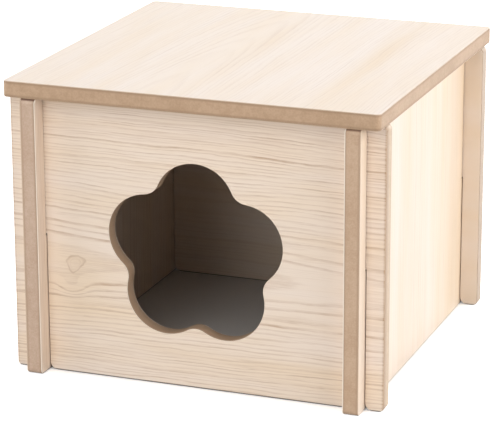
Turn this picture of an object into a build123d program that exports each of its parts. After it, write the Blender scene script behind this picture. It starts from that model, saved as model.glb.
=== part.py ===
from build123d import *
import os

# A flat-pack hamster house.  Four walls of faced board cross near their ends in half-lap joints,
# and a roof board lies on them, kept in place by two cleats glued to its underside.
# Every board is a laminate: a core of MDF with a thin wood-grain facing glued to each side.
#
# Millimetres.  +Z is up, the doorway faces -Y, and the origin is on the floor under the middle.

# ---- The board ----
board_thickness = 5.0
facing_thickness = 0.3
facing_setback = 0.1  # a facing's edge stops this far inside the core's sawn edge

# ---- The walls ----
house_width = 120.0  # along X, over the tabs of the front and back walls
house_depth = 120.0  # along Y, over the tabs of the side walls
wall_height = 88.0
tab_length = 6.0  # how far each wall runs past the wall that it crosses
tab_corner_radius = 1.5

# ---- The half-lap joints ----
# The slots of the front and back walls open downwards, and those of the side walls upwards.
lap_height = 44.0  # where the two slots of a joint meet, above the floor
slot_clearance = 0.3  # a slot's width, over the board that stands in it
slot_end_clearance = 0.4  # between the closed ends of the two slots of a joint
slot_mouth_radius = 2.5  # the rounded lips that guide the other wall in
lips_per_wall = 4  # two at the mouth of each of its two slots
rounding_share = 0.95  # the most of a tab's width that its roundings take up between them

# ---- The doorway: a flower of round petals, one of them upright ----
doorway_height = 42.3  # its centre, above the floor
petal_count = 5
petal_ring_radius = 16.0  # the circle that the petals' centres lie on
petal_radius = 12.8
valley_radius = 5.5  # the rounding of the point between two petals

# ---- The roof ----
roof_inset = 0.3  # its edges lie this far inside the ends of the walls' tabs
roof_corner_radius = 1.5
roof_seat_gap = 0.1  # between the roof's underside and the walls' top edges

# ---- The cleats under the roof ----
cleat_width = 5.0
cleat_height = 8.0
cleat_clearance = 0.5  # between a cleat and the walls round it
cleat_lead_in = 1.5  # the chamfer that guides it in between the walls

# ---- Worked out from the sizes above ----
core_thickness = board_thickness - 2 * facing_thickness
slot_width = board_thickness + slot_clearance
tab_width = tab_length - slot_clearance / 2
tab_corner_limit = rounding_share * tab_width - slot_mouth_radius
side_wall_x = house_width / 2 - tab_length - board_thickness / 2
end_wall_y = house_depth / 2 - tab_length - board_thickness / 2
inner_width = 2 * side_wall_x - board_thickness
inner_depth = 2 * end_wall_y - board_thickness
roof_width = house_width - 2 * roof_inset
roof_depth = house_depth - 2 * roof_inset
roof_bottom = wall_height + roof_seat_gap


def write(piece, name):
    """Label a finished piece and write it to its own file."""
    piece.part.label = name
    export_step(piece.part, f"parts/{name}.step")


def flower(setback):
    """The doorway's outline round its own centre, wider by the setback on all sides."""
    with BuildSketch() as outline:
        with PolarLocations(petal_ring_radius, petal_count, start_angle=90):
            Circle(petal_radius + setback)
        Circle(petal_ring_radius)
        valleys = outline.vertices().group_by(lambda corner: corner.center().length)[0]
        fillet(valleys, valley_radius - setback)
    return outline.sketch


def wall_layer(name, plane, thickness, length, crossing, opens_down, has_doorway, setback=0.0):
    """One layer of a wall: its outline is drawn square on, and extruded through the layer.

    The sketch's origin is on the floor in the middle of the wall, crossing is how far from there
    the two walls stand that it crosses, and the whole edge of the layer lies the setback inside
    the edge of the board.
    """
    mouth_z = setback if opens_down else wall_height - setback
    mouth_side = Align.MIN if opens_down else Align.MAX
    slot_depth = (lap_height if opens_down else wall_height - lap_height) + slot_end_clearance / 2

    with BuildPart() as layer:
        with BuildSketch(plane) as outline:
            with Locations((0, wall_height / 2)):
                Rectangle(length - 2 * setback, wall_height - 2 * setback)
            fillet(outline.vertices(), min(tab_corner_radius, tab_corner_limit) - setback)

            with Locations((-crossing, mouth_z), (crossing, mouth_z)):
                Rectangle(
                    slot_width + 2 * setback,
                    slot_depth,
                    align=(Align.CENTER, mouth_side),
                    mode=Mode.SUBTRACT,
                )
            mouth_line = outline.vertices().group_by(Axis.Y)[0 if opens_down else -1]
            nearest_crossing = mouth_line.sort_by(lambda corner: abs(abs(corner.X) - crossing))
            fillet(nearest_crossing[:lips_per_wall], slot_mouth_radius - setback)

            if has_doorway:
                with Locations((0, doorway_height)):
                    add(flower(setback), mode=Mode.SUBTRACT)
        extrude(amount=thickness)
    write(layer, name)


def wall(name, mid_plane, outer_sign, length, crossing, opens_down, has_doorway=False):
    """A wall's three layers: core, outer facing and inner facing.

    mid_plane lies in the middle of the board, and outer_sign says whether its normal points out
    of the house or into it.
    """
    shape = (length, crossing, opens_down, has_doorway)
    core_face = core_thickness / 2
    outer_face = core_face if outer_sign > 0 else -core_face - facing_thickness
    inner_face = -core_face - facing_thickness if outer_sign > 0 else core_face

    wall_layer(f"{name}_core", mid_plane.offset(-core_face), core_thickness, *shape)
    wall_layer(f"{name}_outer_facing", mid_plane.offset(outer_face), facing_thickness, *shape, facing_setback)
    wall_layer(f"{name}_inner_facing", mid_plane.offset(inner_face), facing_thickness, *shape, facing_setback)


def roof_layer(name, bottom, thickness, setback=0.0):
    """One layer of the roof: a rounded rectangle, extruded upwards."""
    with BuildPart() as layer:
        with BuildSketch(Plane.XY.offset(bottom)):
            RectangleRounded(
                roof_width - 2 * setback,
                roof_depth - 2 * setback,
                roof_corner_radius - setback,
            )
        extrude(amount=thickness)
    write(layer, name)


def roof():
    """The roof's three layers, from the bottom up."""
    core_bottom = roof_bottom + facing_thickness
    core_top = core_bottom + core_thickness
    roof_layer("roof_underside_facing", roof_bottom, facing_thickness, facing_setback)
    roof_layer("roof_core", core_bottom, core_thickness)
    roof_layer("roof_top_facing", core_top, facing_thickness, facing_setback)


def roof_cleat(name, side):
    """A strip under the roof, along one side wall, that reaches from the front wall to the back wall."""
    length = inner_depth - 2 * cleat_clearance
    middle_x = side * (inner_width / 2 - cleat_clearance - cleat_width / 2)

    with BuildPart() as cleat:
        with BuildSketch(Plane.XY.offset(roof_bottom)):
            with Locations((middle_x, 0)):
                Rectangle(cleat_width, length)
        extrude(amount=-cleat_height)
        chamfer(cleat.faces().sort_by(Axis.Z)[0].edges(), cleat_lead_in)
    write(cleat, name)


os.makedirs("parts", exist_ok=True)

front_plane = Plane.XZ.offset(end_wall_y)
back_plane = Plane.XZ.offset(-end_wall_y)
left_plane = Plane.YZ.offset(-side_wall_x)
right_plane = Plane.YZ.offset(side_wall_x)

wall("front_wall", front_plane, 1, house_width, side_wall_x, opens_down=True, has_doorway=True)
wall("back_wall", back_plane, -1, house_width, side_wall_x, opens_down=True)
wall("left_wall", left_plane, -1, house_depth, end_wall_y, opens_down=False)
wall("right_wall", right_plane, 1, house_depth, end_wall_y, opens_down=False)
roof()
roof_cleat("left_roof_cleat", -1)
roof_cleat("right_roof_cleat", 1)
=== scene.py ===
# %% [markdown]
# # A hamster house of faced board
#
# The house is five boards and two small strips: four walls that cross in half-lap joints, and a
# roof that lies on them. Every board is a laminate: a brown core of medium-density fibreboard
# (MDF), with a pale foil glued to each side that is printed with a wood grain. The CAD frame
# already has the shapes right, so this lesson is about finish: how the arrises are eased, what
# the print and the sawn edges look like, and a soft white studio that shows both.
#
# The first cell loads the frame.

# %% Load the frame
from math import radians

import bpy
from mathutils import Matrix, Vector

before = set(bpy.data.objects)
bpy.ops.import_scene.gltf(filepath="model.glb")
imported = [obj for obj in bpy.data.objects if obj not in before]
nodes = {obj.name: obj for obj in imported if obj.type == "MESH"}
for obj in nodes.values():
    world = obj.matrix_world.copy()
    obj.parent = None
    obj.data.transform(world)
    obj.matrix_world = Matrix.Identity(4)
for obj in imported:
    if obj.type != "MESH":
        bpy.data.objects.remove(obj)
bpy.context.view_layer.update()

MM = 0.001  # one millimetre, in Blender's metres
X, Y, Z = 0, 1, 2

# %% [markdown]
# ## Where the boards lie
#
# The finish follows the boards: an edge is darker near the foils, the tabs' tops are painted
# darker as the shade under the roof, and the floor is shaded inside the walls. Those places could
# be typed in again, but the frame knows them, so they are measured on its nodes.


# %% Measure the boards
def span(name, axis):
    """A node's lowest and highest place along an axis, in millimetres."""
    places = [vertex.co[axis] / MM for vertex in nodes[name].data.vertices]
    return min(places), max(places)


wall_middle = sum(span("right_wall_core", X)) / 2
core_half = span("right_wall_core", X)[1] - wall_middle
inner_face = span("right_wall_inner_facing", X)[0]
outer_face = span("right_wall_outer_facing", X)[1]
tab_end = span("right_wall_core", Y)[1]
wall_top = span("right_wall_core", Z)[1]
roof_middle = sum(span("roof_core", Z)) / 2
cleat_middle = sum(span("right_roof_cleat", X)) / 2
print("the walls' faces lie", round(inner_face, 1), "and", round(outer_face, 1), "mm out")

# %% [markdown]
# ## The camera
#
# Straight edges that run away from a lens give it away: how fast they close up gives its
# distance, and their slopes give its height. This one stands 0.8 m off, about 21 degrees round to
# the right of the doorway and 17 degrees above it, and its lens is a long one, which keeps the
# house's edges nearly parallel. A constraint could aim it at the house, but its angles say more
# plainly where it looks. A camera looks along its own -Z, so it is rolled first, then raised from
# looking straight down, then turned round the house.

# %% Camera
camera_place = Vector((268.2, -723.2, 277.9)) * MM
camera_azimuth = radians(20.61)
camera_elevation = radians(17.06)
camera_roll = radians(-0.2)
sensor_width = 36  # mm
focal_length = 184.4  # mm

camera_data = bpy.data.cameras.new("camera")
camera_data.sensor_width = sensor_width
camera_data.lens = focal_length
camera = bpy.data.objects.new("camera", camera_data)
bpy.context.scene.collection.objects.link(camera)
camera.matrix_world = (
    Matrix.Translation(camera_place)
    @ Matrix.Rotation(camera_azimuth, 4, "Z")
    @ Matrix.Rotation(radians(90) - camera_elevation, 4, "X")
    @ Matrix.Rotation(camera_roll, 4, "Z")
)
bpy.context.scene.camera = camera
print("the camera stands", round(camera_place.length, 2), "m from the origin")

# %% [markdown]
# ## Easing the arrises
#
# A board that has been through a saw and a sanding belt has no knife edge left: the two faces
# meet in a rounding of a tenth or two of a millimetre, which is what catches the light along
# every edge. Bevelling in edit mode would cut into the frame's own mesh, and modifiers leave it
# as it is, so the Bevel modifier makes the rounding. The frame's meshes are loose triangles, and
# a bevel needs edges that two faces share, so a Weld modifier joins them first.
#
# The foil stops a tenth of a millimetre short of the sawn edge, so the core is eased by no more
# than that. The foil is harder than the board, and its arris stays a little crisper.

# %% Arrises
core_easing = 0.1  # mm
foil_easing = 0.08  # mm
joined_within = 0.001  # mm
sharp_from = radians(40)
rounding_segments = 2  # enough for a rounding this small


def ease_arrises(node, width):
    """Round a node's sharp edges by that many millimetres."""
    weld = node.modifiers.new("joined_triangles", "WELD")
    weld.merge_threshold = joined_within * MM
    bevel = node.modifiers.new("eased_arris", "BEVEL")
    bevel.width = width * MM
    bevel.segments = rounding_segments
    bevel.limit_method = "ANGLE"
    bevel.angle_limit = sharp_from
    bevel.use_clamp_overlap = False
    bevel.harden_normals = True


for name, node in nodes.items():
    ease_arrises(node, foil_easing if name.endswith("facing") else core_easing)
print("eased the arrises of", len(nodes), "nodes")

# %% [markdown]
# ## Helpers for materials
#
# Colours are written as the hex values that a colour picker shows. Those are sRGB, and shaders
# want linear light, so one function converts them. Another adds a node: its properties are given
# by name, and each input gets a value or the output of a node that is already there.


# %% Helpers
def linear(hex_colour):
    """The linear RGBA of an sRGB hex colour."""
    channels = [int(hex_colour[i : i + 2], 16) / 255 for i in (1, 3, 5)]
    return [c / 12.92 if c <= 0.04045 else ((c + 0.055) / 1.055) ** 2.4 for c in channels] + [1.0]


def add_node(tree, kind, inputs=None, **settings):
    """Add a shader node, set its properties, and fill its inputs by name or by number."""
    node = tree.nodes.new("ShaderNode" + kind)
    for name, value in settings.items():
        setattr(node, name, value)
    for socket, value in (inputs or {}).items():
        if isinstance(value, bpy.types.Node):
            value = value.outputs[0]
        if isinstance(value, bpy.types.NodeSocket):
            tree.links.new(value, node.inputs[socket])
        else:
            node.inputs[socket].default_value = value
    return node


print("a picker's mid grey is", round(linear("#808080")[X], 3), "of full white in linear light")

# %% [markdown]
# ## Patterns in millimetres
#
# A pattern could follow a UV map, but nothing here bends: every board is flat and stays as it is
# in the frame. So the patterns read Object coordinates, and count them in millimetres.


# %% Places in millimetres
def place_in_millimetres(tree):
    """The place of a point in its object's own space, which is the frame's, in millimetres."""
    place = add_node(tree, "TexCoord").outputs["Object"]
    return add_node(tree, "VectorMath", {0: place, "Scale": 1 / MM}, operation="SCALE")


print("patterns count", round(1 / MM), "to the metre")

# %% [markdown]
# ## Painted shade in the doorway and at the tabs' tops
#
# The doorway is the one cut that a saw can't make. Its edge is painted a darker brown, as painted
# shade inside the hole. The top corners of the side walls' tabs are painted darker as well, as
# painted shade under the roof.
#
# Both could be masks that are painted by hand. They are so simple in space that a few sums on a
# point's place do it: inside a circle, or near a tab's end and top.

# %% Where the painted shade goes
doorway_height = 42.3  # mm above the floor
doorway_reach = 32.0  # mm from the doorway's centre to past its petals
# The tabs' tops are painted darker, as the shade under the roof; the scorch named below is this
# painted shade.
tab_shade_start = tab_end - 0.8  # mm from the middle of the house
tab_shade_bottom = wall_top - 0.55  # mm above the floor, halfway up the tab's rounded corner
tab_shade_softness = 0.2  # mm along the tab
tab_shade_border = 0.15  # mm below and above the scorch's bottom


def in_doorway(tree, place):
    """1 for what lies inside the doorway's circle, seen square on, and 0 for the rest."""
    place = add_node(tree, "SeparateXYZ", {0: place}).outputs
    up = add_node(tree, "Math", {0: place[Z], 1: doorway_height}, operation="SUBTRACT")
    squared = add_node(tree, "Math", {0: up, 1: up}, operation="MULTIPLY")
    squared = add_node(tree, "Math", {0: place[X], 1: place[X], 2: squared}, operation="MULTIPLY_ADD")
    return add_node(tree, "Math", {0: squared, 1: doorway_reach**2}, operation="LESS_THAN")


def at_tab_tops(tree, place, strength):
    """That strength of painted shade for the top corners of a side wall's tabs, and 0 for the rest.
    """
    place = add_node(tree, "SeparateXYZ", {0: place}).outputs
    out = add_node(tree, "Math", {0: place[Y]}, operation="ABSOLUTE")
    at_end = {"Value": out, "From Min": tab_shade_start - tab_shade_softness, "From Max": tab_shade_start}
    at_top = {
        "Value": place[Z],
        "From Min": tab_shade_bottom - tab_shade_border,
        "From Max": tab_shade_bottom + tab_shade_border,
        "To Max": strength,
    }
    at_end = add_node(tree, "MapRange", at_end)
    at_top = add_node(tree, "MapRange", at_top)
    return add_node(tree, "Math", {0: at_end, 1: at_top}, operation="MULTIPLY")


print("a scorched corner starts", round(tab_shade_bottom, 2), "mm above the floor")

# %% [markdown]
# ## Painted shadow at the foot
#
# The lowest half millimetre of a wall, on which it stands, is painted dark as the contact shadow
# under it, and from a little way off that is a thin dark line between the house and the floor.
# The floor's own shadow could be made to do this, but it would lie beside the wall and not on it.
# So both the core and the foils take the painted shadow, by height alone.

# %% Painted shadow at the foot
foot_height = 0.55  # mm
full_below = 0.5 * foot_height
# The colour of the painted contact shadow.
foot_shadow = "#4c4541"
usual_foot_shadow = 0.8


def at_foot(tree, place, strength):
    """That strength of painted shadow for the lowest hair's breadth of a wall, and 0 above it."""
    up = add_node(tree, "SeparateXYZ", {0: place}).outputs[Z]
    low = {"Value": up, "From Min": full_below, "From Max": foot_height}
    return add_node(tree, "MapRange", low | {"To Min": strength, "To Max": 0.0})


print("grime reaches", foot_height, "mm up the walls")

# %% [markdown]
# ## Sawn MDF: the felt
#
# MDF is wood fibre pressed with resin. A sawn edge shows no grain, only a fine felt of fibres in
# an even light brown, with soft blotches where the resin lies thicker. The saw leaves faint
# strokes across the board's thickness.
#
# A picture of an edge would need to be wrapped round every corner and petal. Noise that fills
# space fits them all, so the felt and the blotches are plain 3-D noise, and the strokes are noise
# that is drawn out along the one axis that runs through the board.

# %% Felt of a sawn edge
fibre_size = 0.5  # mm; a fibre is finer, and this is as fine as shows
speckle_size = 2.0  # mm
blotch_size = 8.0  # mm
stroke_pitch = 0.9  # mm from one stroke of the saw to the next
stroke_length = 8.0  # mm, longer than the board is thick
stroke_share = 0.2  # of the fine pattern, which is fibres for the rest
speckle_share = 0.5  # of the broad pattern, which is blotches for the rest
fine_share = 0.4  # of the whole
usual_noise = (0.4, 0.6)  # the values that the mixed noise nearly always has


def sawn_felt(tree, place, through):
    """The fine pattern of a sawn edge, and its whole pattern from 0 to 1."""
    blotches = add_node(tree, "TexNoise", {"Vector": place, "Scale": 1 / blotch_size, "Detail": 1.0})
    speckles = add_node(tree, "TexNoise", {"Vector": place, "Scale": 1 / speckle_size, "Detail": 2.0})
    fibres = add_node(tree, "TexNoise", {"Vector": place, "Scale": 1 / fibre_size, "Detail": 2.0})
    stroke_scale = [1 / stroke_pitch] * 3
    stroke_scale[through] = 1 / stroke_length
    stroke_place = add_node(tree, "VectorMath", {0: place, 1: stroke_scale}, operation="MULTIPLY")
    strokes = add_node(tree, "TexNoise", {"Vector": stroke_place, "Scale": 1.0, "Detail": 1.0})

    fine = add_node(tree, "Mix", {0: stroke_share, 2: fibres.outputs[0], 3: strokes.outputs[0]})
    broad = add_node(tree, "Mix", {0: speckle_share, 2: blotches.outputs[0], 3: speckles.outputs[0]})
    whole = add_node(tree, "Mix", {0: fine_share, 2: broad, 3: fine})
    low, high = usual_noise
    return fine, add_node(tree, "MapRange", {"Value": whole, "From Min": low, "From Max": high})


print("the felt is of noise", fibre_size, "to", blotch_size, "mm across")

# %% [markdown]
# ## Sawn MDF: the layers of a board
#
# The press squeezes the faces of the board hardest, so the edge is denser and darker close to
# both foils. On the front wall the outer side of its edges is the browner one. A board could be
# built of three layers with a colour each, but the change from one to the next is gradual, so the
# darker brown grows with the distance from the board's middle.

# %% Layers of a board
dense_share = 0.8  # of the darker brown, right at a foil
dense_from = 0.6 * core_half  # mm from the board's middle
outer_brown_from = -0.3 * core_half  # mm outwards from the board's middle
outer_brown_full = 0.8 * core_half


def darker_layers(tree, place, through, middle, outer_browner):
    """How much of the darker brown a point of the edge has, by its place in the thickness."""
    outwards = add_node(tree, "SeparateXYZ", {0: place}).outputs[through]
    outwards = add_node(tree, "Math", {0: outwards}, operation="ABSOLUTE")
    outwards = add_node(tree, "Math", {0: outwards, 1: middle}, operation="SUBTRACT")
    from_middle = add_node(tree, "Math", {0: outwards}, operation="ABSOLUTE")
    dense = {"Value": from_middle, "From Min": dense_from, "From Max": core_half}
    dense = dense | {"To Max": dense_share}
    dense = add_node(tree, "MapRange", dense, interpolation_type="SMOOTHSTEP")
    if not outer_browner:
        return dense

    outer_brown = {"Value": outwards, "From Min": outer_brown_from, "From Max": outer_brown_full}
    outer_brown = outer_brown | {"To Max": dense_share}
    outer_brown = add_node(tree, "MapRange", outer_brown, interpolation_type="SMOOTHSTEP")
    return add_node(tree, "Math", {0: dense, 1: outer_brown}, operation="MAXIMUM")


print("the edge darkens over the outer", round(core_half - dense_from, 2), "mm of each side")

# %% [markdown]
# ## Sawn MDF: the material
#
# Sanded and sealed, a sawn edge is dull with a soft sheen, and its felt stands up by less than a
# tenth of a millimetre. Real fibres could be modelled, but at that height only the light on them
# shows, which a Bump node bends well enough. The darker layers of the press are mixed over the
# brown of the felt, and then the painted shade in the doorway, at the tabs' tops and at the foot,
# one after the other.

# %% Sawn MDF material
# Painted shade: the doorway's edge darker, as the shade inside the hole, and the tabs' tops darker
# still, as the shade under the roof.
doorway_shade_mdf = "#a68a71"
doorway_shade_share = 0.85
tab_top_shade = "#664839"
felt_relief = 0.08 * MM
felt_strength = 0.3
mdf_roughness = 0.48
resin_ior = 1.5


def new_material(name):
    """An empty node material and its tree."""
    material = bpy.data.materials.new(name)
    material.use_nodes = True
    material.node_tree.nodes.clear()
    return material, material.node_tree


def sawn_mdf(name, through, middle=wall_middle, light="#cdb39e", dark="#c0a38c", dense="#ab8e76",
             has_doorway=False, shadowed=0.0):
    """MDF of a board whose thickness runs along that axis, middle millimetres out."""
    material, tree = new_material(name)
    place = place_in_millimetres(tree)
    fine, tone = sawn_felt(tree, place, through)

    layers_and_shade = [(darker_layers(tree, place, through, middle, outer_browner=has_doorway), dense)]
    if has_doorway:
        # Painted shade on the doorway's edge.
        doorway_shade = {0: in_doorway(tree, place), 1: doorway_shade_share}
        layers_and_shade.append((add_node(tree, "Math", doorway_shade, operation="MULTIPLY"), doorway_shade_mdf))
    # Painted shade at the tabs' tops, under the roof.
    if shadowed:
        layers_and_shade.append((at_tab_tops(tree, place, shadowed), tab_top_shade))
    # Painted shadow at the foot, where the wall meets the floor.
    layers_and_shade.append((at_foot(tree, place, usual_foot_shadow), foot_shadow))

    colour = {"Fac": tone, "Color1": linear(dark), "Color2": linear(light)}
    colour = add_node(tree, "MixRGB", colour)
    for share, overlay in layers_and_shade:
        colour = add_node(tree, "MixRGB", {"Fac": share, "Color1": colour, "Color2": linear(overlay)})

    felt = {"Height": fine, "Strength": felt_strength, "Distance": felt_relief}
    felt = add_node(tree, "Bump", felt)
    surface = {"Base Color": colour, "Roughness": mdf_roughness, "IOR": resin_ior, "Normal": felt}
    surface = add_node(tree, "BsdfPrincipled", surface)
    add_node(tree, "OutputMaterial", {"Surface": surface})
    return material


print("the felt stands up", round(felt_relief / MM, 2), "mm")

# %% [markdown]
# ## The cores and the cleats
#
# Board comes in batches, and no two have quite the same brown, so each board has its own pair of
# tones for the dark and the pale fibres. A random number for each object could vary one brown
# instead, but two boards that meet in a joint are seen side by side, so each pair is chosen.


# %% Dress the cores and the cleats
def dress(name, material):
    """Give a node its one material."""
    nodes[name].data.materials.clear()
    nodes[name].data.materials.append(material)


front_wall_mdf = sawn_mdf("sawn_mdf_front_wall", Y, light="#cfb9a0", dark="#c2a98d",
                          has_doorway=True)
back_wall_mdf = sawn_mdf("sawn_mdf_back_wall", Y, light="#c1ac98", dark="#b39d88")
# The side walls' tabs take painted shade at their tops, under the roof.
left_wall_mdf = sawn_mdf("sawn_mdf_left_wall", X, light="#c8ae99", dark="#ba9d86", shadowed=0.85)
right_wall_mdf = sawn_mdf("sawn_mdf_right_wall", X, light="#c5a88d", dark="#b7987c", shadowed=0.65)
roof_mdf = sawn_mdf("sawn_mdf_roof", Z, roof_middle, light="#bb9c7f", dark="#ac8d6f",
                    dense="#997b5f")
cleat_mdf = sawn_mdf("sawn_mdf_cleats", X, cleat_middle)

dress("front_wall_core", front_wall_mdf)
dress("back_wall_core", back_wall_mdf)
dress("left_wall_core", left_wall_mdf)
dress("right_wall_core", right_wall_mdf)
dress("roof_core", roof_mdf)
dress("left_roof_cleat", cleat_mdf)
dress("right_roof_cleat", cleat_mdf)
print("dressed 5 cores and 2 cleats in", len(bpy.data.materials), "browns of MDF")

# %% [markdown]
# ## Wood-grain foil: streaks
#
# A tree's wood is long in one direction and fine in the other two, and so is everything that
# varies in it: the wander of the trunk, the ripple of the fibres, and where a print runs thin.
# A picture of wood would show its own repeats sooner or later. Noise never repeats, so all of
# these are one kind of noise, drawn out along the grain by its own length and width.

# %% Streaks
# Each kind's length along the grain and width across it in millimetres, and a number that sets it
# apart from the others.
trunk_wander = (90, 35, 0.0)
branch_wander = (22, 6, 1.3)
fibre_ripple = (6, 2, 2.7)
good_and_bad_years = (400, 2.4, 4.1)
fading_ink = (16, 1.5, 5.2)
fine_fibres = (12, 0.3, 6.6)
broken_ink = (2.5, 0.5, 7.7)
ragged_knot = (3.0, 2.5, 8.0)
warm_stretches = (70, 9, 9.4)
faded_knot = (4.0, 3.0, 10.0)
lowest_streak = -1.0  # and the highest is 1


def streaks(tree, u, v, kind, seed, detail=2.0):
    """Noise from about -1 to 1, in streaks of that kind along u."""
    length, width, apart = kind
    place = {
        0: add_node(tree, "Math", {0: u, 1: length}, operation="DIVIDE"),
        1: add_node(tree, "Math", {0: v, 1: width}, operation="DIVIDE"),
        2: seed + apart,
    }
    place = add_node(tree, "CombineXYZ", place)
    noise = add_node(tree, "TexNoise", {"Vector": place, "Scale": 1.0, "Detail": detail})
    # Noise hardly leaves the half between 0.25 and 0.75, and this stretches that half.
    return add_node(tree, "Math", {0: noise, 1: 4.0, 2: -2.0}, operation="MULTIPLY_ADD")


print("the finest streaks are", fine_fibres[1], "mm wide")

# %% [markdown]
# ## Wood-grain foil: the growth rings
#
# The print is of sawn spruce, and the most convincing way to draw it is the way the tree did.
# Growth rings are tubes round the pith. A board is cut some way off the pith, and the ring that
# shows at a point of its face is given by the distance from there to the pith: the root of
# (distance across the face squared + depth below it squared). Where the face passes right over
# the pith it only grazes the rings, so they lie far apart, and to both sides they close up.
#
# A living tree is never that even, so streaks push the rings about: slow and wide for the trunk,
# shorter for its branches, and fine for the fibres. Others make good years and bad years.

# %% Growth rings
trunk_wanders = 1.2  # mm
branch_wanders = 0.36  # mm
fibres_ripple = 0.14  # mm
years_differ = 0.6  # mm


def wandered(tree, u, v, seed):
    """The place across the grain, pushed the way that a trunk wanders and its fibres ripple."""
    for kind, push in (
        (trunk_wander, trunk_wanders),
        (branch_wander, branch_wanders),
        (fibre_ripple, fibres_ripple),
    ):
        pushed = streaks(tree, u, v, kind, seed)
        v = add_node(tree, "Math", {0: pushed, 1: push, 2: v}, operation="MULTIPLY_ADD")
    return v


def growth_rings(tree, u, v, seed, pith, lean, depth, taper):
    """The distance from a point of the face to the pith in millimetres, and the rings' crowding.

    The crowding is 1 where the face cuts the rings square on, and 0 where it only grazes them.
    """
    pith_place = add_node(tree, "Math", {0: u, 1: lean, 2: pith}, operation="MULTIPLY_ADD")
    sideways = add_node(tree, "Math", {0: v, 1: pith_place}, operation="SUBTRACT")
    below = add_node(tree, "Math", {0: u, 1: taper, 2: depth}, operation="MULTIPLY_ADD")
    squared = add_node(tree, "Math", {0: below, 1: below}, operation="MULTIPLY")
    squared = add_node(tree, "Math", {0: sideways, 1: sideways, 2: squared}, operation="MULTIPLY_ADD")
    radius = add_node(tree, "Math", {0: squared}, operation="SQRT")
    crowding = add_node(tree, "Math", {0: sideways, 1: radius}, operation="DIVIDE")
    crowding = add_node(tree, "Math", {0: crowding}, operation="ABSOLUTE")
    # Noise that depends on the ring alone makes good years and bad years.
    years = streaks(tree, u, radius, good_and_bad_years, seed)
    radius = add_node(tree, "Math", {0: years, 1: years_differ, 2: radius}, operation="MULTIPLY_ADD")
    return radius, crowding


print("the trunk pushes its rings", trunk_wanders, "mm about")

# %% [markdown]
# ## Wood-grain foil: patches
#
# Some things happen at one place of a board: resin warms the wood round a knot, rings bend, and
# foil wears through at an end. Other patches are painted shade, and a few are painted light. Each
# could be painted on a picture of its own. A bell curve over the face is enough for all of them.
# It needs only a middle and a half size, and it has no border that could show.


# %% Soft patches
def soft_patch(tree, u, v, middle, half_size):
    """1 at the middle of a patch of the face, falling smoothly to a third at its half size."""
    squares = []
    for place, centre, half in zip((u, v), middle, half_size):
        offset = add_node(tree, "Math", {0: place, 1: centre}, operation="SUBTRACT")
        offset = add_node(tree, "Math", {0: offset, 1: half}, operation="DIVIDE")
        squares.append(add_node(tree, "Math", {0: offset, 1: offset}, operation="MULTIPLY"))
    away = add_node(tree, "Math", {0: squares[0], 1: squares[1]}, operation="ADD")
    away = add_node(tree, "Math", {0: away, 1: -1.0}, operation="MULTIPLY")
    return add_node(tree, "Math", {0: away}, operation="EXPONENT")


print("a patch is a bell curve with a middle and a half size")

# %% [markdown]
# ## Wood-grain foil: the knot
#
# Where a branch left the trunk there is a knot, and the rings below it are drawn down into a V.
# The knot is a small closed ring of dark wood of its own. It could be worked out as a second,
# small trunk that pierces the first. Only its cut face shows, though, so a few tones from its
# middle to its outline are enough.

# %% Knots
# How dark a knot is from its middle (0) to its outline (1).
knot_tones = ((0.0, 0.2), (0.35, 0.12), (0.5, 0.33), (0.62, 0.15), (0.86, 0.75), (1.0, 0.0))
raggedness = 0.14  # of a knot's half size
most_faded = 0.35  # of a knot's darkness is left where its ink runs out


def knot_darkness(tree, u, v, knot, seed):
    """A dark outline round a paler middle with one ring in it, and nothing outside it."""
    du = add_node(tree, "Math", {0: u, 1: knot["middle"][0]}, operation="SUBTRACT")
    dv = add_node(tree, "Math", {0: v, 1: knot["middle"][1]}, operation="SUBTRACT")
    # The knot leans, and narrows downwards, like a drop that hangs askew.
    du = add_node(tree, "Math", {0: dv, 1: -knot["lean"], 2: du}, operation="MULTIPLY_ADD")
    half_width = {0: dv, 1: knot["narrowing"], 2: knot["half_width"]}
    half_width = add_node(tree, "Math", half_width, operation="MULTIPLY_ADD")
    across = add_node(tree, "Math", {0: du, 1: half_width}, operation="DIVIDE")
    up = add_node(tree, "Math", {0: dv, 1: knot["half_height"]}, operation="DIVIDE")
    squared = add_node(tree, "Math", {0: up, 1: up}, operation="MULTIPLY")
    squared = add_node(tree, "Math", {0: across, 1: across, 2: squared}, operation="MULTIPLY_ADD")
    out = add_node(tree, "Math", {0: squared}, operation="SQRT")
    ragged = streaks(tree, u, v, ragged_knot, seed)
    out = add_node(tree, "Math", {0: ragged, 1: raggedness, 2: out}, operation="MULTIPLY_ADD")

    ramp = add_node(tree, "ValToRGB", {"Fac": out})
    stops = ramp.color_ramp.elements
    for place, darkness in knot_tones[1:-1]:
        stops.new(place).color = [darkness] * 3 + [1.0]
    stops[0].color = [knot_tones[0][1]] * 3 + [1.0]
    stops[-1].color = [knot_tones[-1][1]] * 3 + [1.0]
    faded = streaks(tree, u, v, faded_knot, seed)
    faded = {"Value": faded, "From Min": lowest_streak, "To Min": most_faded}
    faded = add_node(tree, "MapRange", faded)
    return add_node(tree, "Math", {0: ramp, 1: faded}, operation="MULTIPLY")


print("a knot is drawn in", len(knot_tones), "tones")

# %% [markdown]
# ## Wood-grain foil: the late wood
#
# Within a year the wood starts pale and loose and ends in a thin dark line, the late wood, which
# stops sharply where the next spring begins. So the tone along a ring stays low, rises late and
# drops at once. Few years are strong and many are faint, and each line breaks up and returns
# along its length, where the print's dots run out. The years could be listed in a table, but a
# random number for each has the same effect, and never runs out of years.

# %% Late wood
line_rises = (0.4, 0.85)  # of a year
line_drops = (0.9, 1.0)
few_are_strong = 1.5  # the power that makes most years faint
faintest_year = 0.4
spreads_below = 0.4  # the crowding under which a line would spread too wide
faintest_spread = 0.35
ink_fades_below = -0.8  # of its streaks
faintest_ink = 0.3
faintest_dots = 0.55


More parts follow.
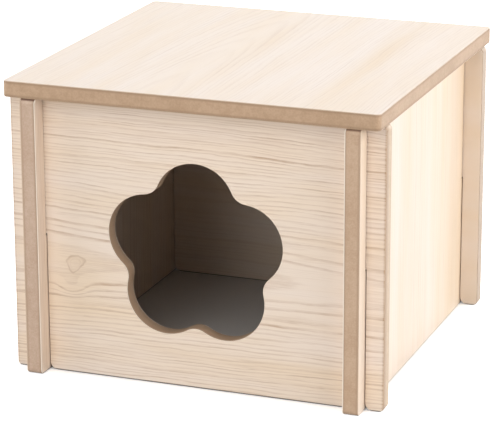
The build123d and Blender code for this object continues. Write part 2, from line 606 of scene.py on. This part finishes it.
def late_wood_line(tree, u, v, radius, crowding, ring_width, ageing, seed):
    """How dark the print is: thin lines at the end of each year, of uneven strength."""
    # The count of the years up to a radius. A tree that ages grows ever thinner rings.
    years = add_node(tree, "Math", {0: radius, 1: ring_width}, operation="DIVIDE")
    squared = add_node(tree, "Math", {0: radius, 1: radius}, operation="MULTIPLY")
    years = add_node(tree, "Math", {0: squared, 1: ageing, 2: years}, operation="MULTIPLY_ADD")
    year = add_node(tree, "Math", {0: years}, operation="FLOOR")
    season = add_node(tree, "Math", {0: years}, operation="FRACT")
    start, end = line_rises
    rise = {"Value": season, "From Min": start, "From Max": end}
    rise = add_node(tree, "MapRange", rise, interpolation_type="SMOOTHSTEP")
    start, end = line_drops
    drop = {"Value": season, "From Min": end, "From Max": start}
    drop = add_node(tree, "MapRange", drop, interpolation_type="SMOOTHSTEP")
    line = add_node(tree, "Math", {0: rise, 1: drop}, operation="MULTIPLY")

    year_seeded = add_node(tree, "Math", {0: year, 1: seed}, operation="ADD")
    strength = add_node(tree, "TexWhiteNoise", {"W": year_seeded}, noise_dimensions="1D").outputs[0]
    strength = add_node(tree, "Math", {0: strength, 1: few_are_strong}, operation="POWER")

    # How strong the year was, where the line would spread, where ink ran out, and its dots.
    ink = streaks(tree, u, radius, fading_ink, seed)
    dots = streaks(tree, u, v, broken_ink, seed)
    for weakening in (
        {"Value": strength, "To Min": faintest_year},
        {"Value": crowding, "From Max": spreads_below, "To Min": faintest_spread},
        {"Value": ink, "From Min": ink_fades_below, "To Min": faintest_ink},
        {"Value": dots, "From Min": lowest_streak, "To Min": faintest_dots},
    ):
        weakening = add_node(tree, "MapRange", weakening)
        line = add_node(tree, "Math", {0: line, 1: weakening}, operation="MULTIPLY")
    return line


dark_share = line_drops[1] - sum(line_rises) / 2
print("the dark line takes up", round(100 * dark_share), "% of a year's growth")

# %% [markdown]
# ## Wood-grain foil: the print
#
# Between the dark lines the print is early wood, and it isn't one colour: some stretches are
# pinkish, others a warmer yellow, and very fine streaks stand for the fibres. A colour ramp over
# one noise could give all of that, but then every dark place would be equally warm. So warmth and
# darkness are worked out apart: warmth picks the early wood's colour, and darkness mixes the late
# wood's brown over it.

# %% Print
early_wood = "#eedfd2"
early_wood_warm = "#ead2b3"
late_wood = "#b39072"
fibres_show = 0.17
fibre_detail = 3.0
warmest_stretch = 0.6


def printed_grain(tree, u, v, grain_v, line, contrast, knot, patches, seed):
    """The print's colour: early wood of varying warmth under the dark of late wood and knot."""
    fibres = streaks(tree, u, v, fine_fibres, seed, detail=fibre_detail)
    darkness = add_node(tree, "Math", {0: fibres, 1: fibres_show, 2: line}, operation="MULTIPLY_ADD")
    darkness = add_node(tree, "Math", {0: darkness, 1: contrast}, operation="MULTIPLY")
    warmth = streaks(tree, u, grain_v, warm_stretches, seed)
    warmth = {"Value": warmth, "From Min": lowest_streak, "To Max": warmest_stretch}
    warmth = add_node(tree, "MapRange", warmth)
    for middle, half_size, warm, dark in patches:
        patch = soft_patch(tree, u, v, middle, half_size)
        darker = {0: patch, 1: dark, 2: darkness}
        darkness = add_node(tree, "Math", darker, operation="MULTIPLY_ADD")
        warmer = {0: patch, 1: warm, 2: warmth}
        warmth = add_node(tree, "Math", warmer, operation="MULTIPLY_ADD", use_clamp=True)
    if knot:
        dark_knot = knot_darkness(tree, u, v, knot, seed)
        darkness = add_node(tree, "Math", {0: darkness, 1: dark_knot}, operation="MAXIMUM")

    early = {"Fac": warmth, "Color1": linear(early_wood), "Color2": linear(early_wood_warm)}
    early = add_node(tree, "MixRGB", early)
    printed = {"Fac": darkness, "Color1": early, "Color2": linear(late_wood)}
    return add_node(tree, "MixRGB", printed)


print("late wood", late_wood, "is printed on early wood", early_wood, "to", early_wood_warm)

# %% [markdown]
# ## Wood-grain foil: the material
#
# The foil is pressed paper under a satin lacquer, so it is smooth, with only a trace of relief,
# and at a shallow angle it picks up the white of the studio. Its own cut edge is unprinted paper,
# pale in the doorway and on the side walls' inner foil. Everywhere else the edge is painted a
# darker tan, as painted shade, and under the roof a darker brown still. A second material on the
# edge's faces could tell the two apart, but the frame's mesh stays as it is. The surface tells
# them apart as well: an edge is turned away from the board's own face.

# %% Wood-grain foil material
usual_ring_width = 1.15  # mm
clean_edge = "#fbf1e2"
# The foil's cut edge, painted darker as painted shade, and darker still under the roof.
edge_in_shade = "#cdb49b"
shaded_edge = "#a88a6c"  # under the roof
edge_below = 0.5  # of facing the way that the board does
face_above = 0.8
print_relief = 0.03 * MM
print_strength = 0.1
lacquer_roughness = 0.42
lacquer_ior = 1.5


def wood_grain_foil(name, along, across, face, seed, pith, depth, lean=0.0, taper=0.0,
                    ring_width=usual_ring_width, ageing=0.0, contrast=1.0, knot=None, patches=(),
                    edge=edge_in_shade, has_doorway=False, shading=usual_foot_shadow):
    """Foil on a board whose grain runs along one axis; face is the axis that it faces.

    The pith lies at that place across the grain and at that depth below the face. It leans across
    the grain and tapers away from the face by so many millimetres for each one along it.
    """
    material, tree = new_material(name)
    place = place_in_millimetres(tree)
    place_parts = add_node(tree, "SeparateXYZ", {0: place}).outputs
    u, v = place_parts[along], place_parts[across]

    grain_v = wandered(tree, u, v, seed)
    if knot:
        dip = soft_patch(tree, u, v, knot["dip_middle"], knot["dip_size"])
        dipped = {0: dip, 1: knot["dip_depth"], 2: grain_v}
        grain_v = add_node(tree, "Math", dipped, operation="MULTIPLY_ADD")
    radius, crowding = growth_rings(tree, u, grain_v, seed, pith, lean, depth, taper)
    line = late_wood_line(tree, u, v, radius, crowding, ring_width, ageing, seed)
    printed = printed_grain(tree, u, v, grain_v, line, contrast, knot, patches, seed)

    normal = add_node(tree, "SeparateXYZ", {0: add_node(tree, "NewGeometry").outputs["Normal"]})
    is_face = add_node(tree, "Math", {0: normal.outputs[face]}, operation="ABSOLUTE")
    is_face = {"Value": is_face, "From Min": edge_below, "From Max": face_above}
    is_face = add_node(tree, "MapRange", is_face)
    cut = linear(edge)
    if has_doorway:
        cut = {"Fac": in_doorway(tree, place), "Color1": cut, "Color2": linear(clean_edge)}
        cut = add_node(tree, "MixRGB", cut)
    colour = add_node(tree, "MixRGB", {"Fac": is_face, "Color1": cut, "Color2": printed})
    # Painted shadow at the foot, where the wall meets the floor.
    colour = {"Fac": at_foot(tree, place, shading), "Color1": colour, "Color2": linear(foot_shadow)}
    colour = add_node(tree, "MixRGB", colour)

    relief = {"Height": line, "Strength": print_strength, "Distance": print_relief}
    relief = add_node(tree, "Bump", relief, invert=True)
    surface = {"Base Color": colour, "Roughness": lacquer_roughness, "IOR": lacquer_ior}
    surface = add_node(tree, "BsdfPrincipled", surface | {"Normal": relief})
    add_node(tree, "OutputMaterial", {"Surface": surface})
    return material


print("a year's growth is", usual_ring_width, "mm on most boards")

# %% [markdown]
# ## The front wall's foil
#
# The grain runs along the front wall. Its one knot lies to the left of the doorway, a little
# below half the wall's height, and the print is warmer round it. The pith runs a little below the
# doorway's centre, and the tree was old, so the rings get finer away from it. At both ends the
# foil has worn through to the board, so a thin brown line runs down there.
#
# All of that could be left to chance by trying seeds until a knot falls in place. It is listed
# here as places and sizes instead, so each can be moved without touching the others.

# %% Front foil
front_knot = dict(
    middle=(-39.5, 35.5),
    half_width=3.1,
    half_height=3.2,
    lean=0.3,
    narrowing=0.5,
    dip_middle=(-40.5, 28.5),
    dip_size=(4.5, 3.2),
    dip_depth=4.2,
)
# Patches of another tone: the middle and half size in millimetres, how warm and how dark. Some
# are painted shade.
front_patches = (
    ((-40.0, 31.0), (14.0, 10.0), 0.5, 0.0),  # resin round the knot
    ((-50.0, 38.0), (6.0, 20.0), 0.0, -0.2),
    ((0.0, 9.0), (90.0, 6.0), 0.2, 0.05),
    # Painted shade along the top, under the roof's overhang.
    ((-20.0, 79.0), (60.0, 3.0), 0.1, 0.1),
    ((25.0, 79.0), (30.0, 5.0), 0.1, 0.08),
    ((-50.0, 8.0), (9.0, 10.0), 0.2, 0.05),
    # Painted shade on the right end tab.
    ((58.0, 70.0), (4.0, 50.0), 0.0, 0.16),
    ((59.9, 44.0), (0.4, 400.0), 0.0, 0.6),  # worn through at the ends
    ((-59.9, 44.0), (0.4, 400.0), 0.0, 0.5),
)
# The front foil takes the full painted shadow at its foot.
front_foil = wood_grain_foil("wood_grain_foil_front", X, Z, Y, seed=3.0, pith=37.3, depth=17.3,
                             taper=0.025, ring_width=1.6, ageing=0.005, contrast=1.08,
                             knot=front_knot, patches=front_patches, has_doorway=True, shading=1.0)
dress("front_wall_outer_facing", front_foil)
print("the front foil has", len(front_patches), "patches of another tone, and one knot")

# %% [markdown]
# ## The other walls' foils
#
# The grain runs along the back wall as well, and up the side walls. One material for them all
# would save nodes, but then the same lines would meet at every corner. So each print has its own
# seed and its own pith, and no two outer faces are alike. The right wall is faced with quieter
# wood, in which the lines hardly show, and so are the insides.

# %% Other walls' foils
right_patches = (
    ((44.0, 50.0), (200.0, 24.0), 0.4, 0.0),
    # Painted shade over the middle of the right wall.
    ((44.0, -12.0), (200.0, 24.0), 0.0, 0.1),
    # Painted light beside the back tab, in the shade it casts on the wall.
    ((44.0, 54.0), (200.0, 10.0), 0.0, -0.2),
)
# Painted light on the end walls' inner foil at their right tabs, in the right wall's shade.
inner_patches = (((58.0, 44.0), (4.5, 200.0), 0.05, -0.3),)
# Painted shade on the side walls' inner faces at their front tabs.
inner_side_patches = (((44.0, -57.0), (200.0, 3.5), 0.0, 0.3),)

back_foil = wood_grain_foil("wood_grain_foil_back", X, Z, Y, seed=21.0, pith=58.0, depth=14.0,
                            lean=0.04, taper=-0.05)
left_foil = wood_grain_foil("wood_grain_foil_left", Z, Y, X, seed=34.0, pith=-12.0, depth=13.0,
                            taper=0.05, contrast=0.7)
# The right wall takes only a little painted shadow at its foot.
right_foil = wood_grain_foil("wood_grain_foil_right", Z, Y, X, seed=47.0, pith=12.0, depth=14.0,
                             contrast=0.3, patches=right_patches, shading=0.2)
inner_foil = wood_grain_foil("wood_grain_foil_inner", X, Z, Y, seed=55.0, pith=30.0, depth=12.0,
                             contrast=0.3, patches=inner_patches, has_doorway=True)
inner_side_foil = wood_grain_foil("wood_grain_foil_inner_side", Z, Y, X, seed=68.0, pith=8.0,
                                  depth=12.0, contrast=0.6, patches=inner_side_patches,
                                  edge=clean_edge)

dress("front_wall_inner_facing", inner_foil)
dress("back_wall_outer_facing", back_foil)
dress("back_wall_inner_facing", inner_foil)
dress("left_wall_outer_facing", left_foil)
dress("left_wall_inner_facing", inner_side_foil)
dress("right_wall_outer_facing", right_foil)
dress("right_wall_inner_facing", inner_side_foil)
print("dressed", sum(len(node.data.materials) == 1 for node in nodes.values()), "nodes so far")

# %% [markdown]
# ## The roof's foils
#
# On the roof the grain runs from front to back, and its print is a quiet one too, with two warm
# bands. Underneath, the edge of the foil is painted darker as the shade under the roof, and it
# draws a thin shadow line between the roof and the walls. A gap would draw one as well, but the
# roof lies on the walls, so the line is a colour and not a shape.

# %% Roof's foils
roof_patches = (
    ((15.0, 38.5), (45.0, 4.5), 0.6, 0.07),
    ((20.0, -1.0), (35.0, 3.0), 0.3, 0.07),
    ((0.0, 18.0), (200.0, 25.0), -0.15, 0.0),
)
roof_foil = wood_grain_foil("wood_grain_foil_roof", Y, X, Z, seed=71.0, pith=-9.0, depth=15.15,
                            lean=0.04, taper=0.05, contrast=0.42, patches=roof_patches)
underside_foil = wood_grain_foil("wood_grain_foil_underside", Y, X, Z, seed=85.0, pith=16.0,
                                 depth=12.0, edge=shaded_edge)

dress("roof_top_facing", roof_foil)
dress("roof_underside_facing", underside_foil)
print("dressed", sum(len(node.data.materials) == 1 for node in nodes.values()), "nodes in all")

# %% [markdown]
# ## The floor
#
# The house stands on a sheet of matte white paper, which has no gleam to it and takes a soft
# shadow. It could be curved up into a backdrop, but the room behind it is white already, so it is
# a plain square.

# %% Sheet of paper
paper_width = 6.0  # m

bpy.ops.object.select_all(action="DESELECT")
bpy.ops.mesh.primitive_plane_add(size=paper_width)
floor = bpy.context.object
floor.name = "floor"
print("laid out", paper_width, "m of paper")

# %% [markdown]
# ## The floor's paper
#
# White paper throws as much light back up as a lamp does, and fills the house with it through the
# doorway, so to every ray but the camera's own the paper is grey. Within the walls it is darker
# still, so that the doorway shows a dim room. A little way off, where the house no longer shades
# it, the paper shows as pure white. Close by it shows as it is lit, which keeps the shadow that
# the house stands on.
#
# The lamps could be turned up until all of the paper clips to white, but then the house's pale
# foil would clip with it. A little glow of the paper's own, for the camera alone, does no harm.

# %% Matte white paper
# Millimetres from the middle of the house.
hidden_within = inner_face
open_beyond = outer_face
shaded_within = outer_face - 3
white_beyond = outer_face + 10
paper_seen = "#f4f4f4"
paper_felt = "#a2a1a0"  # by the light that goes on from it
inside_seen = "#c8c6c4"
inside_felt = "#6e6d6c"
glow_strength = 0.85


def shown_to_eye(tree):
    """1 for the rays that show a thing to the camera, straight or by way of gloss or glass."""
    rays = add_node(tree, "LightPath").outputs
    seen = {0: rays["Is Camera Ray"], 1: rays["Is Glossy Ray"]}
    seen = add_node(tree, "Math", seen, operation="MAXIMUM")
    return add_node(tree, "Math", {0: seen, 1: rays["Is Transmission Ray"]}, operation="MAXIMUM")


paper, tree = new_material("matte_white_paper")
seen = shown_to_eye(tree)
out = add_node(tree, "VectorMath", {0: place_in_millimetres(tree)}, operation="ABSOLUTE")
out = add_node(tree, "SeparateXYZ", {0: out}).outputs
out = add_node(tree, "Math", {0: out[X], 1: out[Y]}, operation="MAXIMUM")

is_open = {"Value": out, "From Min": hidden_within, "From Max": open_beyond}
inside = {"Fac": seen, "Color1": linear(inside_felt), "Color2": linear(inside_seen)}
outside = {"Fac": seen, "Color1": linear(paper_felt), "Color2": linear(paper_seen)}
colour = {
    "Fac": add_node(tree, "MapRange", is_open),
    "Color1": add_node(tree, "MixRGB", inside),
    "Color2": add_node(tree, "MixRGB", outside),
}
lit = add_node(tree, "BsdfDiffuse", {"Color": add_node(tree, "MixRGB", colour)})

glow = {"Value": out, "From Min": shaded_within, "From Max": white_beyond}
glow = add_node(tree, "MapRange", glow)
glow = add_node(tree, "Math", {0: glow, 1: seen}, operation="MULTIPLY")
glow = add_node(tree, "Math", {0: glow, 1: glow_strength}, operation="MULTIPLY")
glow = add_node(tree, "Emission", {"Color": linear("#ffffff"), "Strength": glow})
add_node(tree, "OutputMaterial", {"Surface": add_node(tree, "AddShader", {0: lit, 1: glow})})
floor.data.materials.append(paper)
print("the floor clears to white", round(white_beyond), "mm from the middle of the house")

# %% [markdown]
# ## The lamps
#
# Soft boxes stand all round, as they would for a catalogue. The three on the right give the most
# light between them, so the right wall and the roof are nearly white and the doorway's wall is a
# step darker, which is what makes the corner between them read. Two behind and one on the left
# light the far sides about as well as the front, so the house can be turned round. One big dome
# of light would do that too, but it would leave the corner flat. Each lamp is half to two-thirds
# as wide as it is far away, so its shadows melt away before they leave the floor's grey patch.

# %% Lamps
look_at = Vector((0, 0, 45)) * MM
lamps = []


def soft_lamp(name, place, size, power):
    """A square white lamp of that size in metres and that power in watts, facing the house."""
    lamp = bpy.data.lights.new(name, "AREA")
    lamp.size = size
    lamp.energy = power
    holder = bpy.data.objects.new(name, lamp)
    bpy.context.scene.collection.objects.link(holder)
    holder.location = place
    holder.rotation_euler = (look_at - Vector(place)).to_track_quat("-Z", "Y").to_euler()
    lamps.append(lamp)


soft_lamp("key_lamp", (0.9, 0.25, 0.55), 0.7, 5.0)
soft_lamp("side_lamp", (1.5, -0.1, 0.45), 0.9, 3.6)
soft_lamp("front_right_lamp", (1.35, -0.6, 0.4), 0.9, 8.0)
soft_lamp("front_lamp", (-0.3, -1.6, 0.35), 1.0, 8.9)
soft_lamp("high_front_lamp", (0.1, -1.3, 1.3), 0.9, 8.2)
soft_lamp("back_left_lamp", (-0.5, 1.35, 0.3), 0.9, 3.1)
soft_lamp("back_right_lamp", (0.35, 1.4, 0.3), 0.9, 7.8)
soft_lamp("left_lamp", (-1.4, -0.3, 0.35), 0.9, 11.5)
print(len(lamps), "lamps,", round(sum(lamp.energy for lamp in lamps), 1), "W in all")

# %% [markdown]
# ## The room
#
# A white room shows behind everything, at full strength to the camera, so that the house stands
# on pure white. Walls could be built round the house, but a world needs none and has no corners.
# What the room adds to the light on the house is set apart from how it shows, and is little: it
# only keeps the shadows open. The Standard view shows each colour as it is written.

# %% World
room_light = 0.24

world = bpy.data.worlds.new("white_room")
bpy.context.scene.world = world
world.use_nodes = True
tree = world.node_tree
tree.nodes.clear()
strength = {"Value": shown_to_eye(tree), "To Min": room_light, "To Max": 1.0}
strength = add_node(tree, "MapRange", strength)
room = add_node(tree, "Background", {"Color": linear("#ffffff"), "Strength": strength})
add_node(tree, "OutputWorld", {"Surface": room})

bpy.context.scene.view_settings.view_transform = "Standard"
print("the room lights the house with strength", room_light)
